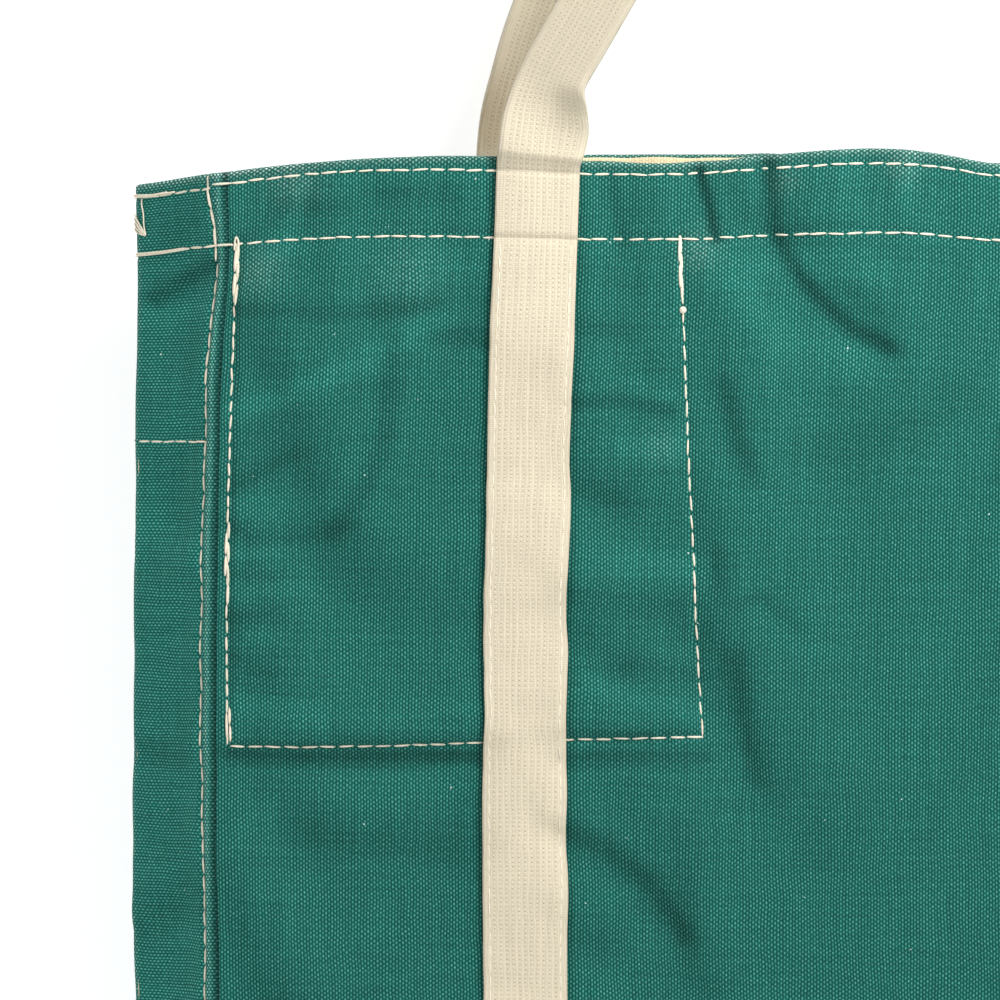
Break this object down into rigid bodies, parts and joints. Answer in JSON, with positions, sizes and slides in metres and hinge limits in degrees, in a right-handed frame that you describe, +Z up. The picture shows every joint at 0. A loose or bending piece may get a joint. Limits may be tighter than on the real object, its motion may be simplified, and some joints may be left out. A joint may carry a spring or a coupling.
{
  "type": "garden tool bag",
  "caption": "Upright canvas tool bag with outward-creased side gussets, webbing straps sewn round the body, webbing carrying handles and inner pockets.",
  "frame": {"origin": "on the floor under the middle of the bag", "axes": "+Z up, +X towards the bag's right side seen from the front, the front faces -Y"},
  "size_m": [0.4592, 0.071, 0.4998],
  "materials": {
    "canvas": "heavy plain-weave cotton duck, dyed green outside, natural inside, matt",
    "webbing": "natural cotton webbing, woven, matt",
    "thread": "heavy natural cotton sewing thread, matt"
  },
  "bodies": {
    "bag": {"front_panel": "canvas", "back_panel": "canvas", "base_panel": "canvas", "left_gusset": "canvas", "right_gusset": "canvas", "front_hem": "canvas", "back_hem": "canvas", "left_gusset_hem": "canvas", "right_gusset_hem": "canvas", "left_gusset_facing": "canvas", "right_gusset_facing": "canvas", "left_inner_pocket": "canvas", "right_inner_pocket": "canvas", "front_left_strap": "webbing", "front_right_strap": "webbing", "back_left_strap": "webbing", "back_right_strap": "webbing", "base_left_strap": "webbing", "base_right_strap": "webbing", "hem_thread_upper": "thread", "hem_thread_lower": "thread", "front_left_seam_thread": "thread", "front_right_seam_thread": "thread", "back_left_seam_thread": "thread", "back_right_seam_thread": "thread", "front_left_strap_thread_inner": "thread", "front_left_strap_thread_outer": "thread", "front_right_strap_thread_inner": "thread", "front_right_strap_thread_outer": "thread", "back_left_strap_thread_inner": "thread", "back_left_strap_thread_outer": "thread", "back_right_strap_thread_inner": "thread", "back_right_strap_thread_outer": "thread", "left_pocket_thread": "thread", "right_pocket_thread": "thread", "left_facing_thread": "thread", "right_facing_thread": "thread"},
    "front_handle": {"front_handle": "webbing"},
    "back_handle": {"back_handle": "webbing"}
  },
  "joints": [
    {"name": "front_handle_fold", "type": "hinge", "parent": "bag", "child": "front_handle", "pos_m": [0, -0.0222, 0.356], "axis": [1, 0, 0], "range_deg": [-6, 165]},
    {"name": "back_handle_fold", "type": "hinge", "parent": "bag", "child": "back_handle", "pos_m": [0, 0.0222, 0.356], "axis": [-1, 0, 0], "range_deg": [-6, 165]}
  ]
}
